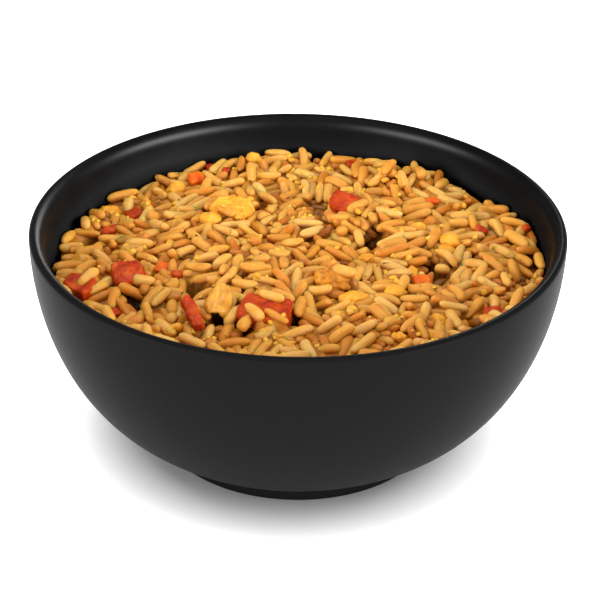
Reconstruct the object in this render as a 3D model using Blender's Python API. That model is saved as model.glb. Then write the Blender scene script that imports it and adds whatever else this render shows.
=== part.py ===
"""Fried rice served in a round black ceramic bowl.

Metres, +Z up.  The origin is the centre of the foot ring's resting plane.
The bowl is one turned body.  The rice is one heap that fills it to a little
under the rim, and the larger pieces of vegetable and egg lie half sunk in
pockets of the heap's uneven top.
"""
import math

import bpy
import bmesh
from mathutils import Matrix, Vector, noise

MM = 0.001

# ---------------------------------------------------------------- bowl sizes
BOWL_HEIGHT = 71.5 * MM
RIM_RADIUS = 80.4 * MM          # widest radius, just under the lip
WIDEST_Z = 70.4 * MM
OUTER_DEPTH = 70.06 * MM        # from the widest level down to the curve's own bottom
CURVE_M = 1.95                  # how quickly the wall starts to turn in
CURVE_N = 3.21                  # how square the belly is
LIP_WIDTH = 3.5 * MM
LIP_OUTER_ROUND = 1.3 * MM
INNER_TOP_Z = 69.2 * MM         # level where the inside curve would stand upright
LIP_LOW_Z = 62.0 * MM           # the inside leans out from here up, in a long soft round
FLOOR_Z = 8.0 * MM              # inside bottom of the bowl
FOOT_RADIUS = 42.85 * MM
FOOT_WIDTH = 4.6 * MM           # flat ring that the bowl rests on
FOOT_HEIGHT = 4.4 * MM
RECESS_Z = 2.6 * MM             # underside inside the foot ring
SEGMENTS = 64                   # round the axis
OUTER_RINGS = 12
INNER_RINGS = 10

# ---------------------------------------------------------------- heap sizes
GAP = 0.45 * MM                 # between the heap and the wall
RICE_EDGE_Z = 57.2 * MM         # where the heap meets the wall
MOUND = 4.2 * MM                # how much higher its middle is
MOUND_POWER = 0.75
LUMP = 2.8 * MM                 # broad lumps
LUMP_SIZE = 21.0 * MM
CLUMP = 1.9 * MM                # clumps of a few grains
CLUMP_SIZE = 9.0 * MM
RICE_TOP_LIMIT = 64.3 * MM
LIMIT_SOFTNESS = 1.6 * MM
CELL = 4.2 * MM                 # mesh size of the top

# Where the heap stands up or sinks: x, y, radius, height (mm).
SWELLS = [
    (-16.4, 60.0, 10.0, 3.6), (12.0, 60.0, 9.0, 1.6), (28.7, 60.0, 10.0, 3.6),
    (38.5, 52.0, 10.0, 3.4), (47.5, 50.0, 8.0, 1.2), (66.5, 25.6, 9.0, 3.4),
    (70.0, 13.0, 8.0, 2.6), (41.8, 11.0, 9.0, 1.2),
    (22.0, 5.5, 7.0, -2.4), (46.1, -14.9, 7.0, -2.6), (61.6, 37.5, 6.0, -1.8),
]

# Pieces that lie on top: name, kind, centre x and y, length, width, thickness,
# turn about Z, tilt about its own length, tilt about its own width (mm, degrees),
# how far the centre stands above the heap's surface.
TOPPINGS = [
    ("pepper_front", "pepper", -9.3, -34.6, 15.2, 11.6, 4.6, -12.0, 12.0, 3.0, 0.1),
    ("pepper_left", "pepper", -50.7, -11.6, 10.0, 8.0, 5.0, 16.0, 24.0, -6.0, 0.3),
    ("pepper_back", "pepper", 14.3, 33.0, 9.0, 7.6, 4.2, -28.0, 20.0, 8.0, 0.2),
    ("pepper_rim", "pepper", -64.4, -15.6, 10.0, 7.0, 4.4, -34.0, 14.0, 0.0, 0.2),
    ("pepper_strip", "pepper", -29.9, -37.4, 12.0, 3.8, 3.4, -70.0, 12.0, 24.0, 0.2),
    ("onion_front", "onion", -22.3, -31.6, 12.0, 6.2, 5.0, 84.0, 8.0, -14.0, 0.3),
    ("egg_back_left", "egg", -21.2, 30.8, 12.0, 9.6, 6.2, -14.0, 8.0, 0.0, 0.3),
    ("egg_middle", "egg", 10.6, -14.6, 10.4, 8.8, 5.6, 12.0, 6.0, 0.0, 0.1),
]
TOPPING_CUTS = 3                # squares along each side of a piece's face
POCKET_GAP = 0.4 * MM
ROUNDNESS = {"pepper": 0.42, "onion": 0.55, "egg": 0.78}
ROUGHNESS = {"pepper": 0.35 * MM, "onion": 0.5 * MM, "egg": 0.9 * MM}

COLOURS = {                     # linear colour, roughness
    "bowl": ((0.012, 0.012, 0.013), 0.42),
    "rice": ((0.62, 0.27, 0.045), 0.5),
    "pepper": ((0.55, 0.07, 0.025), 0.35),
    "onion": ((0.42, 0.17, 0.03), 0.35),
    "egg": ((0.85, 0.43, 0.05), 0.6),
}


def clear_scene():
    for ob in list(bpy.data.objects):
        bpy.data.objects.remove(ob, do_unlink=True)


def material(kind):
    colour, rough = COLOURS[kind]
    mat = bpy.data.materials.get(kind) or bpy.data.materials.new(kind)
    mat.use_nodes = True
    bsdf = mat.node_tree.nodes["Principled BSDF"]
    bsdf.inputs["Base Color"].default_value = (*colour, 1.0)
    bsdf.inputs["Roughness"].default_value = rough
    bsdf.inputs["Metallic"].default_value = 0.0
    mat.diffuse_color = (*colour, 1.0)
    return mat


def new_object(name, bm, kind, smooth=True):
    mesh = bpy.data.meshes.new(name)
    bm.normal_update()
    bm.to_mesh(mesh)
    bm.free()
    mesh.materials.append(material(kind))
    ob = bpy.data.objects.new(name, mesh)
    bpy.context.scene.collection.objects.link(ob)
    if smooth:
        mesh.shade_smooth()
        mesh.set_sharp_from_angle(angle=math.radians(50))
    return ob


# ------------------------------------------------------------ turned profiles
def wall_radius(z, widest, top_z, depth):
    """Radius of the bowl's curve at height z: vertical at top_z, flat at its bottom."""
    t = min(max((top_z - z) / depth, 0.0), 1.0)
    return widest * (1.0 - t ** CURVE_M) ** (1.0 / CURVE_N)


def outer_radius(z):
    return wall_radius(z, RIM_RADIUS, WIDEST_Z, OUTER_DEPTH)


def inner_radius(z, inset=0.0):
    """The inside wall, or a shell that lies inset inside it."""
    widest = RIM_RADIUS - LIP_WIDTH - inset
    return wall_radius(z, widest, INNER_TOP_Z, INNER_TOP_Z - FLOOR_Z - inset)


def even_points(radius_of, z_low, z_high, count):
    """count + 1 points (r, z) at even distances along a curve, from low to high."""
    fine = 600
    raw = []
    for i in range(fine + 1):
        # closer steps at the bottom, where the curve runs nearly level
        f = (i / fine) ** 3
        z = z_low + (z_high - z_low) * f
        raw.append((radius_of(z), z))
    run = [0.0]
    for a, b in zip(raw, raw[1:]):
        run.append(run[-1] + math.hypot(b[0] - a[0], b[1] - a[1]))
    out, j = [], 0
    for k in range(count + 1):
        want = run[-1] * k / count
        while j < fine - 1 and run[j + 1] < want:
            j += 1
        span = run[j + 1] - run[j]
        f = 0.0 if span <= 0 else (want - run[j]) / span
        out.append((raw[j][0] + f * (raw[j + 1][0] - raw[j][0]),
                    raw[j][1] + f * (raw[j + 1][1] - raw[j][1])))
    return out


def quarter(cx, cz, rx, rz, start, end, steps):
    """Points on an ellipse's arc, angles in degrees from +r towards +z."""
    pts = []
    for i in range(steps + 1):
        a = math.radians(start + (end - start) * i / steps)
        pts.append((cx + rx * math.cos(a), cz + rz * math.sin(a)))
    return pts


def bowl_profile():
    """(r, z) from the underside's centre, over foot, belly and lip, to the inside's centre."""
    foot_in = FOOT_RADIUS - FOOT_WIDTH
    pts = [(foot_in * 0.5, RECESS_Z)]
    pts += [(foot_in - 1.9 * MM, RECESS_Z), (foot_in - 0.7 * MM, RECESS_Z * 0.72),
            (foot_in - 0.1 * MM, 0.5 * MM), (foot_in + 0.4 * MM, 0.0)]
    pts += [(FOOT_RADIUS - 0.7 * MM, 0.0), (FOOT_RADIUS - 0.15 * MM, 0.35 * MM),
            (FOOT_RADIUS, 1.0 * MM), (FOOT_RADIUS - 0.5 * MM, FOOT_HEIGHT)]
    low = FOOT_HEIGHT + 1.3 * MM
    pts += even_points(outer_radius, low, WIDEST_Z, OUTER_RINGS)
    # the lip: a tight outer round, then the long inner one
    rise = BOWL_HEIGHT - WIDEST_Z
    pts += quarter(RIM_RADIUS - LIP_OUTER_ROUND, WIDEST_Z, LIP_OUTER_ROUND, rise, 25, 90, 3)
    top = RIM_RADIUS - LIP_OUTER_ROUND
    pts += quarter(top, LIP_LOW_Z, top - inner_radius(LIP_LOW_Z), BOWL_HEIGHT - LIP_LOW_Z,
                   90, 180, 5)[1:]
    inside = even_points(inner_radius, FLOOR_Z, INNER_TOP_Z, INNER_RINGS)
    pts += [p for p in reversed(inside[1:]) if p[1] < LIP_LOW_Z - 1.5 * MM]
    return pts


def turn(profile, low_centre, high_centre):
    """Closed body of revolution; the two ends are capped at the axis."""
    bm = bmesh.new()
    rings = []
    for r, z in profile:
        rings.append([bm.verts.new((r * math.cos(2 * math.pi * i / SEGMENTS),
                                    r * math.sin(2 * math.pi * i / SEGMENTS), z))
                      for i in range(SEGMENTS)])
    for a, b in zip(rings, rings[1:]):
        for i in range(SEGMENTS):
            j = (i + 1) % SEGMENTS
            bm.faces.new((a[i], a[j], b[j], b[i]))
    lo = bm.verts.new((0, 0, low_centre))
    hi = bm.verts.new((0, 0, high_centre))
    for i in range(SEGMENTS):
        j = (i + 1) % SEGMENTS
        bm.faces.new((rings[0][j], rings[0][i], lo))
        bm.faces.new((rings[-1][i], rings[-1][j], hi))
    return bm


def make_bowl():
    bm = turn(bowl_profile(), RECESS_Z, FLOOR_Z)
    return new_object("bowl", bm, "bowl")


# ------------------------------------------------------------------- the heap
def heap_height(x, y):
    """Height of the rice's top at (x, y)."""
    full = RIM_RADIUS - LIP_WIDTH
    t = min(math.hypot(x, y) / full, 1.0)
    z = RICE_EDGE_Z + MOUND * (1.0 - t * t) ** MOUND_POWER
    # the heap stands higher at the back right than at the back left
    z += (0.022 * x + 0.010 * y) * t
    z += LUMP * noise.noise(Vector((x / LUMP_SIZE, y / LUMP_SIZE, 3.7)))
    z += CLUMP * noise.noise(Vector((x / CLUMP_SIZE, y / CLUMP_SIZE, 11.3)))
    for cx, cy, radius, height in SWELLS:
        far = ((x - cx * MM) ** 2 + (y - cy * MM) ** 2) / (radius * MM) ** 2
        z += height * MM * math.exp(-far)
    # the heap stays under the rim: near the limit it flattens softly
    knee = RICE_TOP_LIMIT - LIMIT_SOFTNESS
    if z > knee:
        z = RICE_TOP_LIMIT - LIMIT_SOFTNESS * math.exp(-(z - knee) / LIMIT_SOFTNESS)
    return z


def edge_height(angle):
    r = RIM_RADIUS - LIP_WIDTH - GAP
    return heap_height(r * math.cos(angle), r * math.sin(angle))


def zip_rings(bm, outer, inner):
    """Triangles between two closed rings of different counts, both counter-clockwise."""
    n, m = len(outer), len(inner)
    i = j = 0
    while i < n or j < m:
        if j >= m or (i < n and (i + 1) / n <= (j + 1) / m):
            bm.faces.new((outer[i % n], outer[(i + 1) % n], inner[j % m]))
            i += 1
        else:
            bm.faces.new((outer[i % n], inner[(j + 1) % m], inner[j % m]))
            j += 1


def make_rice():
    bm = bmesh.new()
    floor = FLOOR_Z + GAP

    def inside(z):
        return inner_radius(z, GAP)

    # side and bottom: the same levels as the bowl's inside, so the gap stays even
    lowest_edge = min(edge_height(2 * math.pi * i / SEGMENTS) for i in range(SEGMENTS))
    levels = [z for r, z in even_points(inside, floor, INNER_TOP_Z, INNER_RINGS)
              if floor < z < lowest_edge - 2 * MM]
    rings = []
    for z in levels + [None]:
        ring = []
        for i in range(SEGMENTS):
            a = 2 * math.pi * i / SEGMENTS
            level = edge_height(a) if z is None else z
            r = inside(level)
            ring.append(bm.verts.new((r * math.cos(a), r * math.sin(a), level)))
        rings.append(ring)
    for a, b in zip(rings, rings[1:]):
        for i in range(SEGMENTS):
            j = (i + 1) % SEGMENTS
            bm.faces.new((a[i], a[j], b[j], b[i]))
    base = bm.verts.new((0, 0, floor))
    for i in range(SEGMENTS):
        bm.faces.new((rings[0][(i + 1) % SEGMENTS], rings[0][i], base))
    # top, in rings of nearly even spacing
    outer = rings[-1]
    reach = RIM_RADIUS - LIP_WIDTH - GAP
    steps = int(round(reach / CELL))
    for k in range(steps - 1, 0, -1):
        r = reach * k / steps
        count = max(6, int(round(2 * math.pi * r / (CELL * 1.1))))
        if len(outer) == SEGMENTS and count > SEGMENTS:
            count = SEGMENTS + (count - SEGMENTS) // 2
        ring = []
        for i in range(count):
            a = 2 * math.pi * i / count
            x, y = r * math.cos(a), r * math.sin(a)
            ring.append(bm.verts.new((x, y, heap_height(x, y))))
        zip_rings(bm, outer, ring)
        outer = ring
    tip = bm.verts.new((0, 0, heap_height(0, 0)))
    for i in range(len(outer)):
        bm.faces.new((outer[i], outer[(i + 1) % len(outer)], tip))
    return new_object("rice", bm, "rice")


# --------------------------------------------------------- pieces on the heap
def piece_mesh(kind, length, width, thick, seed, grow=0.0):
    """A cut block with rounded, slightly uneven faces, centred on its own origin."""
    bm = bmesh.new()
    bmesh.ops.create_cube(bm, size=2.0)
    bmesh.ops.subdivide_edges(bm, edges=bm.edges[:], cuts=TOPPING_CUTS - 1,
                              use_grid_fill=True)
    soft = ROUNDNESS[kind]
    rough = ROUGHNESS[kind]
    half = Vector((length, width, thick)) * 0.5
    for v in bm.verts:
        p = v.co.copy()
        ball = p.normalized() * 1.18
        q = p.lerp(ball, soft)
        v.co = Vector((q.x * half.x, q.y * half.y, q.z * half.z))
    for v in bm.verts:
        n = noise.noise(Vector((v.co.x / (4 * MM), v.co.y / (4 * MM), v.co.z / (4 * MM) + seed)))
        v.co += v.co.normalized() * n * rough
    bmesh.ops.triangulate(bm, faces=bm.faces[:], quad_method="SHORT_EDGE")
    bm.normal_update()
    if grow:
        moved = [(v, v.co + v.normal * grow) for v in bm.verts]
        for v, co in moved:
            v.co = co
    return bm


def place(bm, x, y, z, turn_z, tilt_x, tilt_y):
    m = (Matrix.Translation((x, y, z))
         @ Matrix.Rotation(math.radians(turn_z), 4, "Z")
         @ Matrix.Rotation(math.radians(tilt_x), 4, "X")
         @ Matrix.Rotation(math.radians(tilt_y), 4, "Y"))
    bm.transform(m)


def make_toppings(rice):
    for seed, row in enumerate(TOPPINGS):
        name, kind, x, y, length, width, thick, turn_z, tilt_x, tilt_y, lift = row
        x, y, lift = x * MM, y * MM, lift * MM
        size = (length * MM, width * MM, thick * MM)
        z = heap_height(x, y) + lift
        bm = piece_mesh(kind, *size, seed=seed * 1.7)
        place(bm, x, y, z, turn_z, tilt_x, tilt_y)
        new_object(name, bm, kind)
        # the pocket: the same block, grown by the gap, cut out of the heap
        bm = piece_mesh(kind, *size, seed=seed * 1.7, grow=POCKET_GAP)
        place(bm, x, y, z, turn_z, tilt_x, tilt_y)
        cutter = new_object("cut_" + name, bm, kind, smooth=False)
        cutter.hide_render = True
        cutter.display_type = "WIRE"
        mod = rice.modifiers.new("pocket_" + name, "BOOLEAN")
        mod.operation = "DIFFERENCE"
        mod.object = cutter
        mod.solver = "EXACT"


def main():
    clear_scene()
    make_bowl()
    rice = make_rice()
    make_toppings(rice)


main()
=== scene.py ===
import math

import bmesh
import bpy
import numpy as np
from mathutils import Matrix, Vector, noise
from mathutils.bvhtree import BVHTree


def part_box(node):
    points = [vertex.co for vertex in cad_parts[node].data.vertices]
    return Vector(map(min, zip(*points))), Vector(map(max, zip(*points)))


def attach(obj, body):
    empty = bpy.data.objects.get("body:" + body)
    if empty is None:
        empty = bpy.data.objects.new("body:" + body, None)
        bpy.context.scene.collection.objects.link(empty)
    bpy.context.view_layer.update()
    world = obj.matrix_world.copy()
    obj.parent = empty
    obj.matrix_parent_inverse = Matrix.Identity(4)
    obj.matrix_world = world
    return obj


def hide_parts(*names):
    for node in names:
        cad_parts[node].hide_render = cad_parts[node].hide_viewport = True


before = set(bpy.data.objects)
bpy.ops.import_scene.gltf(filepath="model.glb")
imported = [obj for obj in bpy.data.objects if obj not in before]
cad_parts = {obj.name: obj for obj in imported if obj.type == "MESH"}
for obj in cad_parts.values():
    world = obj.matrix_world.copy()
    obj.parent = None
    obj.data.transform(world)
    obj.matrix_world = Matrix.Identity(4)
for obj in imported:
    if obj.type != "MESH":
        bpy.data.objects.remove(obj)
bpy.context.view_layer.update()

MM = 0.001
RNG = np.random.default_rng(20417)

# ------------------------------------------------------------------ the camera
# Pixel places below are in the photo's 600 x 600 frame.
CAM_TARGET = np.array([0.82, 0.0, 44.85])        # mm
CAM_DISTANCE = 640.0
CAM_ELEVATION = math.radians(29.287)
CAM_ROLL = math.radians(-0.778)
CAM_LENS = 125.49
FOCAL_PX = CAM_LENS / 36.0 * 600.0

_s, _c = math.sin(CAM_ELEVATION), math.cos(CAM_ELEVATION)
_right, _up, _fwd = np.array([1.0, 0, 0]), np.array([0, _s, _c]), np.array([0, _c, -_s])
CAM_AT = CAM_TARGET - _fwd * CAM_DISTANCE
CAM_RIGHT = _right * math.cos(CAM_ROLL) - _up * math.sin(CAM_ROLL)
CAM_UP = _right * math.sin(CAM_ROLL) + _up * math.cos(CAM_ROLL)


def pixel_ray(px, py):
    d = _fwd + CAM_RIGHT * ((px - 300.0) / FOCAL_PX) + CAM_UP * ((300.0 - py) / FOCAL_PX)
    return CAM_AT, d / np.linalg.norm(d)


def make_camera():
    cam = bpy.data.cameras.new("camera")
    cam.lens = CAM_LENS
    cam.sensor_width = 36.0
    cam.clip_start, cam.clip_end = 0.05, 20.0
    ob = bpy.data.objects.new("camera", cam)
    bpy.context.scene.collection.objects.link(ob)
    m = Matrix.Identity(4)
    for i in range(3):
        m[i][0], m[i][1], m[i][2] = CAM_RIGHT[i], CAM_UP[i], -_fwd[i]
        m[i][3] = CAM_AT[i] * MM
    ob.matrix_world = m
    bpy.context.scene.camera = ob


# ------------------------------------------------------- the bowl's own curve
BOWL_H, RIM_R, WIDEST_Z, OUTER_DEPTH = 71.5, 80.4, 70.4, 70.06
CURVE_M, CURVE_N = 1.95, 3.21
LIP_W, LIP_OUT, LIP_LOW, INNER_TOP = 4.3, 1.3, 67.0, 69.2
FLOOR_Z = 8.0
FOOT_R, FOOT_W, FOOT_H, RECESS = 42.85, 4.6, 4.4, 2.6


def wall_radius(z, widest, top, depth):
    t = np.clip((top - np.asarray(z, float)) / depth, 0.0, 1.0)
    return widest * (1.0 - t ** CURVE_M) ** (1.0 / CURVE_N)


def inner_radius(z, inset=0.0):
    return wall_radius(z, RIM_R - LIP_W - inset, INNER_TOP, INNER_TOP - FLOOR_Z - inset)


def even_curve(radius_of, z0, z1, count):
    z = z0 + (z1 - z0) * np.linspace(0, 1, 4000) ** 3
    r = radius_of(z)
    run = np.concatenate([[0], np.cumsum(np.hypot(np.diff(r), np.diff(z)))])
    want = np.linspace(0, run[-1], count + 1)
    return np.stack([np.interp(want, run, r), np.interp(want, run, z)], 1)


def arc(cr, cz, rr, rz, a0, a1, n):
    a = np.radians(np.linspace(a0, a1, n + 1))
    return np.stack([cr + rr * np.cos(a), cz + rz * np.sin(a)], 1)


def link(name, verts, faces, smooth=True):
    me = bpy.data.meshes.new(name)
    me.from_pydata([tuple(v) for v in verts], [], faces)
    me.update()
    ob = bpy.data.objects.new(name, me)
    bpy.context.scene.collection.objects.link(ob)
    if smooth:
        me.shade_smooth()
    return ob


def mesh_from_arrays(name, co, quads, tris):
    """A mesh from numpy arrays: co in mm, quads (n, 4), tris (m, 3)."""
    me = bpy.data.meshes.new(name)
    nq, nt = len(quads), len(tris)
    me.vertices.add(len(co))
    me.vertices.foreach_set("co", (np.asarray(co, np.float32) * MM).ravel())
    loops = np.concatenate([np.asarray(quads, np.int32).ravel(), np.asarray(tris, np.int32).ravel()])
    me.loops.add(len(loops))
    me.loops.foreach_set("vertex_index", loops)
    me.polygons.add(nq + nt)
    start = np.concatenate([np.arange(nq) * 4, nq * 4 + np.arange(nt) * 3]).astype(np.int32)
    me.polygons.foreach_set("loop_start", start)
    me.update(calc_edges=True)
    me.validate()
    me.shade_smooth()
    ob = bpy.data.objects.new(name, me)
    bpy.context.scene.collection.objects.link(ob)
    return ob


def bowl_profile():
    foot_in = FOOT_R - FOOT_W
    crest = RIM_R - LIP_OUT
    inside = even_curve(inner_radius, FLOOR_Z, INNER_TOP, 34)[1:]
    inside = inside[inside[:, 1] < LIP_LOW - 0.5][::-1]
    parts = [np.array([[foot_in * 0.3, RECESS], [foot_in * 0.6, RECESS], [foot_in - 4.0, RECESS]]),
             arc(foot_in - 2.1, RECESS - 1.7, 1.9, 1.7, 90, 15, 6),
             arc(foot_in + 0.7, 0.6, 0.8, 0.6, 190, 270, 5),
             arc(FOOT_R - 0.9, 0.9, 0.9, 0.9, 270, 355, 6),
             np.array([[FOOT_R - 0.25, 2.6], [FOOT_R - 0.42, FOOT_H - 0.5], [FOOT_R - 0.3, FOOT_H + 0.2],
                       [FOOT_R + 0.15, FOOT_H + 0.8]]),
             even_curve(lambda z: wall_radius(z, RIM_R, WIDEST_Z, OUTER_DEPTH), FOOT_H + 1.6, WIDEST_Z, 46),
             arc(RIM_R - LIP_OUT, WIDEST_Z, LIP_OUT, BOWL_H - WIDEST_Z, 12, 90, 8),
             arc(crest, LIP_LOW, crest - float(inner_radius(LIP_LOW)), BOWL_H - LIP_LOW, 94, 180, 16),
             inside]
    return np.concatenate(parts), sum(len(q) for q in parts[:7])


def turned(name, prof, start_cap, end_cap, inner, lip_from):
    """A turned shell with a flat cap at one end, and the glaze's attributes."""
    seg = 240
    a = np.arange(seg) * 2 * math.pi / seg
    co = np.stack([prof[:, None, 0] * np.cos(a), prof[:, None, 0] * np.sin(a),
                   np.repeat(prof[:, 1:2], seg, 1)], -1).reshape(-1, 3)
    n = len(prof)
    i, j = np.meshgrid(np.arange(n - 1), np.arange(seg), indexing="ij")
    k = (j + 1) % seg
    quads = np.stack([i * seg + j, i * seg + k, (i + 1) * seg + k, (i + 1) * seg + j], -1).reshape(-1, 4)
    hub = len(co)
    j = np.arange(seg)
    k = (j + 1) % seg
    if start_cap is not None:
        co = np.concatenate([co, [[0, 0, start_cap]]])
        tris = np.stack([k, j, np.full(seg, hub)], 1)
    else:
        co = np.concatenate([co, [[0, 0, end_cap]]])
        tris = np.stack([(n - 1) * seg + j, (n - 1) * seg + k, np.full(seg, hub)], 1)
    ob = mesh_from_arrays(name, co, quads, tris)
    s = np.append(np.repeat(prof[:, 1], seg), co[-1, 2])
    order = np.append(np.repeat(np.arange(n), seg), 0)
    # where the glaze is the lip's, and the upper part of the inside, the glossier one
    lip = np.where(order >= lip_from, np.clip((s - 69.8) / 1.4, 0, 1), 0.0)
    upper = np.clip((s - 60.0) / 3.5, 0, 1) * inner
    for nm, val in (("inside", np.full(len(s), inner)), ("lip", lip), ("upper", upper)):
        at = ob.data.attributes.new(nm, "FLOAT", "POINT")
        at.data.foreach_set("value", val.astype(np.float32))
    return ob


def make_bowl():
    """The bowl in two pieces that meet on the lip's crest: the outside and the inside."""
    prof, lip_at = bowl_profile()
    return (turned("bowl_outside", prof[:lip_at], RECESS, None, 0.0, lip_at - 8),
            turned("bowl_inside", prof[lip_at - 1:], None, FLOOR_Z, 1.0, 0))


# ------------------------------------------------------------------- the heap
GRID = 0.75                                        # mm
HALF = 78.0
AX = np.arange(-HALF, HALF + GRID / 2, GRID)
GX, GY = np.meshgrid(AX, AX, indexing="xy")


def tree_of(name):
    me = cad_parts[name].data
    return BVHTree.FromPolygons([v.co.copy() for v in me.vertices], [tuple(f.vertices) for f in me.polygons])


def cad_top():
    """The CAD heap's top, without the pockets, on the grid."""
    tree = tree_of("rice")
    out = np.full(GX.shape, np.nan)
    step = 3
    coarse = AX[::step]
    zc = np.full((len(coarse), len(coarse)), np.nan)
    for iy, y in enumerate(coarse):
        for ix, x in enumerate(coarse):
            if x * x + y * y > 75.6 ** 2:
                continue
            hit = tree.ray_cast(Vector((x * MM, y * MM, 0.1)), Vector((0, 0, -1)))
            if hit[0] is not None:
                zc[iy, ix] = hit[0].z / MM
    # the pockets are filled from their surroundings
    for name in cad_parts:
        if name in ("rice", "bowl"):
            continue
        lo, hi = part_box(name)
        cx, cy = (lo.x + hi.x) / 2 / MM, (lo.y + hi.y) / 2 / MM
        rad = max(hi.x - lo.x, hi.y - lo.y) / 2 / MM + 1.0
        m = (coarse[None, :] - cx) ** 2 + (coarse[:, None] - cy) ** 2 < rad ** 2
        zc[m] = np.nan
    known = ~np.isnan(zc)
    z = np.where(known, zc, 0.0)
    w = known.astype(float)
    filled = z.copy()
    for _ in range(40):
        zs, ws = np.zeros_like(z), np.zeros_like(z)
        for dy, dx in ((0, 1), (0, -1), (1, 0), (-1, 0)):
            zs += np.roll(z * w, (dy, dx), (0, 1))
            ws += np.roll(w, (dy, dx), (0, 1))
        new = (~(w > 0)) & (ws > 0)
        filled = np.where(new, zs / np.maximum(ws, 1e-9), z)
        z = np.where(new, filled, z)
        w = np.where(new, 1.0, w)
        if w.all():
            break
    fx = np.clip((GX + HALF) / (GRID * step), 0, len(coarse) - 1.001)
    fy = np.clip((GY + HALF) / (GRID * step), 0, len(coarse) - 1.001)
    ix, iy = fx.astype(int), fy.astype(int)
    tx, ty = fx - ix, fy - iy
    out = (z[iy, ix] * (1 - tx) * (1 - ty) + z[iy, ix + 1] * tx * (1 - ty)
           + z[iy + 1, ix] * (1 - tx) * ty + z[iy + 1, ix + 1] * tx * ty)
    return out


def sample(grid, x, y):
    fx = np.clip((np.asarray(x) + HALF) / GRID, 0, len(AX) - 1.001)
    fy = np.clip((np.asarray(y) + HALF) / GRID, 0, len(AX) - 1.001)
    ix, iy = fx.astype(int), fy.astype(int)
    tx, ty = fx - ix, fy - iy
    return (grid[iy, ix] * (1 - tx) * (1 - ty) + grid[iy, ix + 1] * tx * (1 - ty)
            + grid[iy + 1, ix] * (1 - tx) * ty + grid[iy + 1, ix + 1] * tx * ty)


TOP = cad_top()


def hit_surface(px, py, grid):
    """Where the ray through a photo pixel first meets a height grid."""
    o, d = pixel_ray(px, py)
    t0 = (76.0 - o[2]) / d[2]
    ts = t0 + np.arange(0, 90, 0.25)
    p = o[None] + ts[:, None] * d[None]
    under = p[:, 2] < sample(grid, p[:, 0], p[:, 1])
    i = int(np.argmax(under)) if under.any() else len(ts) - 1
    return p[i]


# ------------------------------------------------- settling the loose grains
SPHERES = 5
BALL = 1.30                                        # collision radius, mm


def neighbour_pairs(p, owner, reach):
    """Index pairs of balls of different grains that are nearer than reach."""
    q = np.floor((p + 100.0) / reach).astype(np.int64)
    key = (q[:, 0] * 400 + q[:, 1]) * 400 + q[:, 2]
    order = np.argsort(key, kind="stable")
    ks = key[order]
    found_a, found_b = [], []
    for dx in (-1, 0, 1):
        for dy in (-1, 0, 1):
            for dz in (-1, 0, 1):
                off = (dx * 400 + dy) * 400 + dz
                if off < 0:
                    continue
                want = ks + off
                lo = np.searchsorted(ks, want, "left")
                hi = np.searchsorted(ks, want, "right")
                if off == 0:
                    lo = np.arange(len(ks)) + 1
                n = np.maximum(hi - lo, 0)
                a = np.repeat(np.arange(len(ks)), n)
                b = np.arange(n.sum()) - np.repeat(np.cumsum(n) - n, n) + np.repeat(lo, n)
                found_a.append(order[a])
                found_b.append(order[b])
    a, b = np.concatenate(found_a), np.concatenate(found_b)
    keep = owner[a] != owner[b]
    a, b = a[keep], b[keep]
    near = ((p[a] - p[b]) ** 2).sum(1) < reach * reach
    return a[near], b[near]


def relax(c, u, half, fixed, fixed_r, floor, steps, pull, flat, stiff=0.85):
    """Rods of balls that fall on a floor grid, inside the bowl, round fixed balls."""
    n = len(c)
    off = np.linspace(-1, 1, SPHERES)
    gx = np.gradient(floor, GRID, axis=1)
    gy = np.gradient(floor, GRID, axis=0)
    owner = np.concatenate([np.repeat(np.arange(n), SPHERES), np.full(len(fixed), n)])
    radius = np.concatenate([np.full(n * SPHERES, BALL), fixed_r])
    m = n * SPHERES
    s = (off[None] * half[:, None]).ravel()
    a = b = None
    for it in range(steps):
        f = 1.0 - it / steps
        c[:, 2] -= pull * (0.35 + 0.65 * f)
        p = (c[:, None] + off[None, :, None] * half[:, None, None] * u[:, None]).reshape(-1, 3)
        allp = np.concatenate([p, fixed]) if len(fixed) else p
        if it % 6 == 0:
            a, b = neighbour_pairs(allp, owner, 2 * BALL + 1.3)
        d = allp[a] - allp[b]
        dist = np.sqrt((d * d).sum(1)) + 1e-6
        over = radius[a] + radius[b] - dist
        k = over > 0
        aa, bb = a[k], b[k]
        push = d[k] / dist[k, None] * over[k, None]
        wa = np.where(bb >= m, 1.0, np.where(aa >= m, 0.0, 0.5))
        move = np.zeros((len(allp), 3))
        cnt = np.bincount(aa, minlength=len(allp)) + np.bincount(bb, minlength=len(allp))
        for ax in range(3):
            move[:, ax] = (np.bincount(aa, weights=push[:, ax] * wa, minlength=len(allp))
                           - np.bincount(bb, weights=push[:, ax] * (1 - wa), minlength=len(allp)))
        move = move[:m] / np.maximum(cnt[:m, None] * 0.55, 1.0) * stiff
        # the floor under the grains
        q = p + move
        z0 = sample(floor, q[:, 0], q[:, 1])
        nx, ny = sample(gx, q[:, 0], q[:, 1]), sample(gy, q[:, 0], q[:, 1])
        nl = 1.0 / np.sqrt(1 + nx * nx + ny * ny)
        deep = (z0 + BALL / nl - q[:, 2]) * nl
        up = np.where(deep > 0, deep, 0.0)
        move += np.stack([-nx * nl * up, -ny * nl * up, nl * up], 1)
        # the wall
        q = p + move
        rr = np.hypot(q[:, 0], q[:, 1])
        lim = inner_radius(q[:, 2]) - BALL - 0.25
        out = np.maximum(rr - lim, 0.0)
        move[:, 0] -= q[:, 0] / np.maximum(rr, 1e-6) * out
        move[:, 1] -= q[:, 1] / np.maximum(rr, 1e-6) * out
        mv = move.reshape(n, SPHERES, 3)
        c += mv.mean(1)
        sr = s.reshape(n, SPHERES)
        du = (mv * sr[:, :, None]).sum(1) / (sr ** 2).sum(1)[:, None]
        u += du * 0.9
        u[:, 2] *= 1.0 - flat
        u /= np.linalg.norm(u, axis=1)[:, None]
    return c, u


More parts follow.
